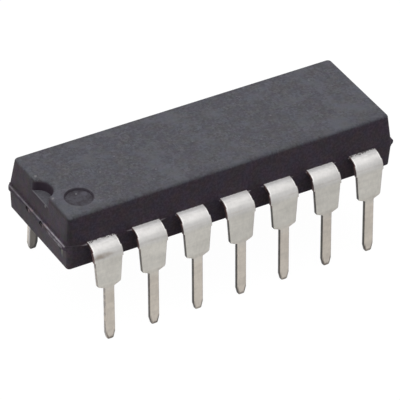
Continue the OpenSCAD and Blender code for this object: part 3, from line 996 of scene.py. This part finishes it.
def flash_tree(wedge):
    """One wedge on each point, stretched by the point's side and at random."""
    tree, given = geometry_tree("flash_beside_leads", flash_luck)
    shape = new_node("GeometryNodeObjectInfo", {"Object": wedge}, tree).outputs["Geometry"]
    chance = new_node("FunctionNodeRandomValue", {2: given["Least"], 3: given["Most"], "Seed": given["Seed"]})
    stretch = product(named(tree, "side"), chance.outputs[1])
    size = put("ShaderNodeCombineXYZ", {0: stretch, 1: named(tree, "row"), 2: 1.0})
    wedges = put("GeometryNodeInstanceOnPoints", {"Points": given["Geometry"], "Instance": shape, "Scale": size})
    close_tree(tree, wedges, compound)
    return tree


def flash():
    """All the flash, on both rows."""
    wedge = flash_wedge()
    places, sides, rows = [], [], []
    for row, lengths in ((-1, front_flash), (1, rear_flash)):
        for i, length in enumerate(lengths):
            side = 1 if i % 2 else -1
            places.append(((i // 2 - (row_leads - 1) / 2) * pitch + side * exit_w / 2, row * half_w, part_z))
            sides.append(side * length)
            rows.append(-row)
    made = grow(points_object("flash", places, {"side": sides, "row": rows}), flash_tree(wedge), flash_luck)
    bpy.data.objects.remove(wedge)
    turn_faces_out(made)
    return made


combine(body, [flash()], "UNION")
body.data.materials.clear()
body.data.materials.append(compound)
finish_mesh(body, radians(32))
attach(body, "root")
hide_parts("mould_body")

# %% [markdown]
# ## Leads
# A lead begins as a flat blank, stamped from strip: a finger that stays inside the body, a wide root, two stubs
# of the dam bar, a taper, the shoulder that seats on a board, and a pin. Then it is bent once. The lesson follows
# the same two steps. Python lists the stations of the blank, each with its middle, half width and half thickness.
# The geometry tree sweeps a rounded section over them and bends the result round a cylinder: past the bend's
# start, distance turns into angle.

# %% Stations of the flat blank
bend_turn = pi / 2 - lean
bend_mid_r = bend_r - strip_t / 2
arc_drop = bend_r * (1 - cos(bend_turn))
edge_r = 0.035
leg_face_y = row_span / 2 + strip_t / 2
bend_corner_y = leg_face_y - (strip_top - part_z) * tan(lean)
bend_start = bend_corner_y - bend_r / tan((pi - bend_turn) / 2)


def reach_of(height):
    """How far past the bend's start a height lies on the flat blank."""
    drop = strip_top - height
    if drop < arc_drop:
        return bend_mid_r * acos(1 - drop / bend_r)
    return bend_mid_r * bend_turn + (drop - arc_drop) / cos(lean)


def leg_outline():
    """Half width against height, from the stubs to the tip, with rounded corners."""
    stub_top = strip_top - stub_drop
    stub_foot = stub_top - stub_h
    stub_side = exit_w / 2 + stub_out
    stub_r = stub_out / 3
    corners = [(exit_w / 2, strip_top, 0), (exit_w / 2, stub_top, stub_r), (stub_side, stub_top, stub_r),
               (stub_side, stub_foot, stub_r), (neck_w / 2, stub_foot, stub_r),
               (shoulder_w / 2, pin_l, shoulder_r), (pin_w / 2, pin_l - shoulder_rise, shoulder_r / 2),
               (pin_w / 2, tip_l, tip_l / 2), (tip_w / 2, 0, tip_w / 3), (0, 0, 0)]
    flat = [Vector(corner[:2]) for corner in corners]
    outline = [flat[0]]
    for i in range(1, len(corners) - 1):
        outline += corner_arc(flat[i - 1], flat[i], flat[i + 1], corners[i][2], 6)
    return outline


def thickness_at(height):
    """Half thickness of the strip, rounded off at the tip."""
    short = max(edge_r - height, 0)
    return strip_t / 2 - edge_r + sqrt(max(edge_r ** 2 - short ** 2, 0))


def leg_stations():
    """Reach, half width and half thickness from the bend's start to the tip."""
    inner_drop = strip_t * sin(lean)
    outline = [(reach_of(height + inner_drop * max(1 - height / tip_l, 0)), width, thickness_at(height))
               for width, height in leg_outline()]
    steps = 18
    stations = []
    for here, after in zip(outline, outline[1:]):
        stations.append(here)
        for i in range(1, steps):
            reach = bend_mid_r * bend_turn * i / steps
            if here[0] + 0.005 < reach < after[0] - 0.005:
                share = (reach - here[0]) / (after[0] - here[0])
                stations.append((reach, here[1] + share * (after[1] - here[1]), strip_t / 2))
    return stations + [outline[-1]]


print("bend starts", round(bend_start, 3), "mm out, and the leg has", len(leg_stations()), "stations")

# %% [markdown]
# ### Fingers inside the body
# Inwards the strip goes on as a finger, sealed in the compound. The fingers run to the die pad in lanes with one
# gap between them, as a lead frame is drawn: the end leads come in along the ends of the pad, the middle ones
# straight to its long edge. Nobody sees them, but a lead is one piece of metal and is made as one.

# %% Fingers inside the body
finger_w = 0.36
frame_gap = 0.22
root_l = 0.3
pad_l = 3.6
pad_w = 2.4
turn = 0.5
lane_1 = bar_edge + frame_gap + finger_w / 2
lane_3 = half_w - root_l - frame_gap
lane_2 = (lane_1 + lane_3) / 2
finger_end = pad_w / 2 + frame_gap
edge_x = pad_l / 2 - finger_w - frame_gap
corner_x = pad_l / 2 + finger_w + frame_gap
lane_x = corner_x + lane_3 - lane_2 + frame_gap
end_column = (row_leads - 1) / 2


def finger_path(column):
    """Middle line of a finger from the die pad to the root, in the right half of the row."""
    x = column * pitch
    if column == end_column:
        return [(lane_x, -lane_1), (x - turn, -lane_1), (x, -lane_1 - turn)]
    if column == end_column - 1:
        return [(corner_x, -lane_1 - finger_w / 2), (lane_x, -lane_2), (x - turn, -lane_2), (x, -lane_2 - turn)]
    tip_x = edge_x * column / (end_column - 2)
    return [(tip_x, -finger_end), (tip_x, -lane_2)]


def blank_stations(column):
    """All stations of one blank as middle, half width and half thickness."""
    k = abs(column)
    side = copysign(1, column)
    x = k * pitch
    flat = [(place, finger_w / 2, strip_t / 2) for place in finger_path(k)]
    flat += [((x, -half_w + root_l + frame_gap), finger_w / 2, strip_t / 2),
             ((x, -half_w + root_l), exit_w / 2, strip_t / 2)]
    flat += [((x, -bend_start - reach), width, thick) for reach, width, thick in leg_stations()]
    return [(Vector((side * place[0], place[1], strip_middle)), width, thick) for place, width, thick in flat]


def across_vectors(middles):
    """Vector across the blank at each station, longer at a corner so that the band keeps its width."""
    found = []
    for i, here in enumerate(middles):
        before = (here - middles[i - 1]) if i else middles[1] - here
        after = (middles[i + 1] - here) if i + 1 < len(middles) else before
        sides = [Vector((-step.y, step.x, 0)).normalized() for step in (before, after) if step.length > 1e-6]
        total = sum(sides, Vector())
        found.append(total * len(sides) / total.length_squared)
    return found


def blank_object(name, column):
    """The blank's middle line as an object, with its sizes at each station."""
    middles, widths, thicks = zip(*blank_stations(column))
    last = len(middles) - 1
    values = {"half_width": widths, "half_thick": thicks, "cut_end": [0.0] * last + [1.0]}
    made = points_object(name, middles, values, [(i, i + 1) for i in range(last)])
    across = [number for vector in across_vectors(middles) for number in vector]
    made.data.attributes.new("across", "FLOAT_VECTOR", "POINT").data.foreach_set("vector", across)
    return made


print("finger lanes at y", [round(-lane, 2) for lane in (lane_1, lane_2, lane_3)])

# %% [markdown]
# ### The bending tree
# The section is a rectangle whose corners are arcs of four points each. The number of a point says which corner
# it belongs to and how far round the arc it lies. Sweeping a ready-made profile would scale the corner radius
# with the width, and a lead would get fat corners at its shoulder and sharp ones at its pin. Lead fourteen of
# this chip stands a little aside, its sheared edges get almost no copper colour, and its inner side gets more
# painted shade.

# %% Bending tree
SECTION_POINTS = 16


def keep(geometry, label, value, kind="FLOAT"):
    """Write a value on every point."""
    return put("GeometryNodeStoreNamedAttribute", {"Geometry": geometry, "Name": label, "Value": value},
               data_type=kind, domain="POINT")


def swept_blank(tree, given):
    """Sweep the rounded section over the flat stations and mark its sheared sides."""
    line = keep(given["Geometry"], "middle", put("GeometryNodeInputPosition", {}, tree), "FLOAT_VECTOR")
    line = put("GeometryNodeMeshToCurve", {0: line})
    ring = put("GeometryNodeCurvePrimitiveCircle", {"Resolution": SECTION_POINTS, "Radius": 0.1}, tree)
    ring = keep(ring, "place", put("GeometryNodeInputIndex", {}, tree))
    tube = put("GeometryNodeCurveToMesh", {0: line, 1: ring, "Fill Caps": True})
    place = named(tree, "place")
    quarter = calc("FLOOR", calc("DIVIDE", place, 4.0))
    step = calc("MODULO", place, 4.0)
    corner = product(plus(quarter, 0.5), pi / 2)
    angle = product(plus(quarter, calc("DIVIDE", step, 3.0)), pi / 2)
    thick = named(tree, "half_thick")
    radius = calc("MINIMUM", given["Edge Radius"], product(thick, 0.95))
    reach = {}
    for label, size, wave in (("across", named(tree, "half_width"), "COSINE"), ("up", thick, "SINE")):
        sign = calc("SIGN", calc(wave, corner))
        straight = product(sign, minus(size, radius))
        reach[label] = plus(straight, product(radius, calc(wave, angle)))
    offset = scaled(named(tree, "across", "FLOAT_VECTOR"), reach["across"])
    lifted = put("ShaderNodeCombineXYZ", {2: reach["up"]})
    point = calc_vector("ADD", calc_vector("ADD", named(tree, "middle", "FLOAT_VECTOR"), offset), lifted)
    facing = calc("ABSOLUTE", calc("COSINE", angle))
    sheared = product(ramp(facing, 0.1, 0.6), given["Edge Wear"])
    tube = keep(tube, "sheared", calc("MAXIMUM", sheared, named(tree, "cut_end")))
    # Painted shade for the inner side, read by the tin as inner_side.
    inner = product(ramp(calc("SINE", angle), -0.3, -0.7), given["Inner Dulling"])
    tube = keep(tube, "inner_side", inner)
    return put("GeometryNodeSetPosition", {0: tube, "Position": point})


def bent(tree, given, blank):
    """Bend the flat blank downwards past the bend's start, and put it in its row."""
    axes = split(put("GeometryNodeInputPosition", {}, tree))
    past = minus(product(axes[1], -1.0), given["Bend Start"])
    past = calc("MAXIMUM", past, 0.0)
    angle = calc("MINIMUM", calc("DIVIDE", past, given["Bend Radius"]), given["Bend Turn"])
    arc = product(given["Bend Radius"], given["Bend Turn"])
    rest = calc("MAXIMUM", minus(past, arc), 0.0)
    spoke = plus(given["Bend Radius"], minus(axes[2], given["Strip Middle"]))
    y = plus(axes[1], past)
    y = minus(y, product(spoke, calc("SINE", angle)))
    y = minus(y, product(rest, calc("COSINE", given["Bend Turn"])))
    z = minus(given["Strip Middle"], given["Bend Radius"])
    z = plus(z, product(spoke, calc("COSINE", angle)))
    z = minus(z, product(rest, calc("SINE", given["Bend Turn"])))
    aside = plus(axes[0], product(rest, given["Side Lean"]))
    point = put("ShaderNodeCombineXYZ", {0: aside, 1: product(y, given["Row Side"]), 2: z})
    return put("GeometryNodeSetPosition", {0: blank, "Position": point})


def bending_tree():
    """The whole tree, from stations to a bent lead with its plating."""
    tree, given = geometry_tree("stamp_and_bend", {
        "Edge Radius": edge_r, "Strip Middle": strip_middle, "Bend Start": bend_start, "Bend Radius": bend_mid_r,
        "Bend Turn": bend_turn, "Row Side": 1.0, "Edge Wear": 1.0, "Inner Dulling": 0.6, "Side Lean": 0.0})
    close_tree(tree, bent(tree, given, swept_blank(tree, given)), tin)
    return tree


ODD_LEADS = {14: {"Edge Wear": 0.06, "Inner Dulling": 1.3, "Side Lean": 0.018}}
WORKING_VALUES = ("middle", "place", "half_width", "half_thick", "across", "cut_end")


def make_lead(number, tree):
    """One finished lead, counted along the front and back along the rear."""
    front = number <= row_leads
    column = number - 1 if front else 2 * row_leads - number
    made = blank_object(f"tinned_lead_{number:02d}", column - end_column)
    grow(made, tree, {"Row Side": 1.0 if front else -1.0, **ODD_LEADS.get(number, {})})
    for attribute in [a.name for a in made.data.attributes if a.name in WORKING_VALUES]:
        made.data.attributes.remove(made.data.attributes[attribute])
    finish_mesh(made, radians(50))
    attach(made, "root")
    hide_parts(f"lead_{number:02d}")
    return made


bending = bending_tree()
leads = [make_lead(number, bending) for number in range(1, 2 * row_leads + 1)]
print(len(leads), "leads")

# %% [markdown]
# ## The inside
# The die, its adhesive, the pad with its tie bars and the bond wires are sealed in, apart from the tie bars'
# broken ends. Their CAD meshes are right as they are, so each only gets a finish. The broken copper is dark oxide
# with bright tears, and it lies in the shade on the side of its pit.

# %% Finishes of the inside
def metal_material(name, dark, light, per_mm, roughness, bump, shadow=None):
    """A metal that wanders between two tones, with a shadow if one is given."""
    made, shader, place = new_material(name)
    fine = grain(place, per_mm, 4.0)
    colour = blend(ramp(fine, 0.35, 0.65), dark, light)
    if shadow:
        colour = scaled(colour, shadow(place))
    cover(shader, colour, 1.0, ramp(fine, 0.3, 0.7, roughness, roughness + 0.15), fine, bump)
    return made


def pit_shadow(place):
    """Shade on the part of a tie bar that lies next to its pit."""
    return ramp(from_tie_bar(split(place)[1]), 0.03, -0.05, 0.08, 1.0)


def adhesive_material():
    """Silver-filled epoxy, grey with bright flakes."""
    made, shader, place = new_material("silver_filled_epoxy")
    flakes = new_node("ShaderNodeTexVoronoi", {"Vector": place, "Scale": 30.0}).outputs["Distance"]
    grey = blend(ramp(flakes, 0.2, 0.5), (0.62, 0.62, 0.6), (0.33, 0.33, 0.32))
    cover(shader, grey, 0.4, 0.5, flakes, 0.004)
    return made


def silicon_material():
    """Polished silicon with blocks of circuitry in faint tones."""
    made, shader, place = new_material("silicon_die")
    blocks = new_node("ShaderNodeTexBrick", {
        "Vector": place, "Color1": (0.12, 0.16, 0.24), "Color2": (0.3, 0.26, 0.3), "Mortar": (0.42, 0.42, 0.4),
        "Scale": 3.0, "Mortar Size": 0.015}).outputs["Color"]
    tone = grain(place, 6.0)
    colour = blend(ramp(tone, 0.4, 0.6, 0, 0.4), blocks, (0.2, 0.23, 0.28))
    cover(shader, colour, 0.0, 0.16, tone, 0.001)
    return made


inside = {
    "die_pad": metal_material("broken_copper", (0.05, 0.036, 0.04), (0.2, 0.15, 0.16), 8.0, 0.5, 0.008,
                              pit_shadow),
    "die_attach": adhesive_material(),
    "die": silicon_material(),
    "bond_wire": metal_material("drawn_gold", (0.85, 0.6, 0.2), (0.95, 0.74, 0.32), 20.0, 0.18, 0.0006),
}
for name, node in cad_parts.items():
    finish = inside.get(name.rstrip("_0123456789"))
    if finish:
        node.data.materials.clear()
        node.data.materials.append(finish)
print("finishes:", [material.name for material in inside.values()])

# %% [markdown]
# ## Floor
# The chip stands on a pale floor that the camera sees as white. That white comes from the floor's own material,
# on camera, glass and mirror rays only, so that no extra light falls on the chip, and the camera gets a small
# share of plain floor, which keeps the shadow.

# %% Floor
floor_size = 3.0
camera_share = 0.93


def white_floor():
    """Pale floor, white to the camera, that keeps the shadow."""
    made = bpy.data.materials.new("white_floor")
    rays = new_node("ShaderNodeLightPath", {}, emptied(made)).outputs
    pale = blend(rays["Is Diffuse Ray"], (0.8, 0.8, 0.8), (0.3, 0.3, 0.3))
    plain = put("ShaderNodeBsdfDiffuse", {"Color": pale})
    white = put("ShaderNodeEmission", {"Color": (1, 1, 1), "Strength": 1.05}, made.node_tree)
    seen = calc("MAXIMUM", rays["Is Camera Ray"], rays["Is Transmission Ray"])
    share = calc("MAXIMUM", product(seen, camera_share), rays["Is Glossy Ray"])
    mixed = put("ShaderNodeMixShader", {0: share, 1: plain, 2: white})
    new_node("ShaderNodeOutputMaterial", {"Surface": mixed})
    return made


bpy.ops.mesh.primitive_plane_add(size=floor_size, location=(0, 0, 0))
floor = bpy.context.object
floor.name = "floor"
floor.data.materials.append(white_floor())
print("floor", floor_size, "m wide")

# %% [markdown]
# ## World and lamps
# The light of a packshot is soft and comes from all round. The world is white to a mirror but faint as a light, a
# large panel hangs overhead, slightly to the front, and a smaller one on the left lifts the notch end. A panel's
# power is worked out from its size and its radiance, so that it looks equally bright to the tin when its size
# changes.

# %% World and lamps
world = bpy.data.worlds.new("studio")
bpy.context.scene.world = world
rays = new_node("ShaderNodeLightPath", {}, emptied(world)).outputs
seen = calc("MAXIMUM", calc("MAXIMUM", rays["Is Camera Ray"], rays["Is Glossy Ray"]), rays["Is Transmission Ray"])
strength = plus(product(seen, 0.8), 0.2)
new_node("ShaderNodeOutputWorld", {0: put("ShaderNodeBackground", {0: (1, 1, 1), 1: strength})})


def soft_panel(name, place, size, radiance):
    """A square panel that looks at the chip and shines evenly."""
    lamp = bpy.data.lights.new(name, "AREA")
    lamp.shape = "SQUARE"
    lamp.size = size
    lamp.energy = radiance * pi * size * size
    made = add_object(name, lamp)
    made.location = place
    made.rotation_euler = Vector(place).to_track_quat("Z", "Y").to_euler()
    return made


panels = [soft_panel("overhead_panel", (-0.03, -0.02, 0.34), 0.7, 1.15),
          soft_panel("left_panel", (-0.4, 0.1, 0.16), 0.24, 1.15)]
print("lamps:", {panel.name: round(panel.data.energy, 3) for panel in panels})

# %% [markdown]
# ## Camera
# The photograph was taken with a long lens from the notch end, looking down on the front row. Place and angles
# come from fitting the corners of the body and the lead tips to the picture, with the lead pitch as the scale.

# %% Camera
camera_place = Vector((-81.41, -132.57, 119.38)) * MM
camera_yaw = radians(31.5355)
camera_pitch = radians(-36.7634)
camera_roll = radians(-2.0555)
focal_pixels = 3799.0
picture_pixels = 400
sensor = 36.0

ahead = Vector((sin(camera_yaw) * cos(camera_pitch), cos(camera_yaw) * cos(camera_pitch), sin(camera_pitch)))
level = Vector((cos(camera_yaw), -sin(camera_yaw), 0))
below = ahead.cross(level)
right = cos(camera_roll) * level + sin(camera_roll) * below
down = cos(camera_roll) * below - sin(camera_roll) * level
lens = bpy.data.cameras.new("long_lens")
lens.sensor_width = sensor
lens.lens = focal_pixels / picture_pixels * sensor
lens.clip_start = 0.01
lens.clip_end = 10
camera = add_object("camera", lens)
camera.matrix_world = Matrix.Translation(camera_place) @ Matrix((right, -down, -ahead)).transposed().to_4x4()
bpy.context.scene.camera = camera
bpy.context.scene.view_settings.view_transform = "Standard"
print("lens", round(lens.lens, 1), "mm")
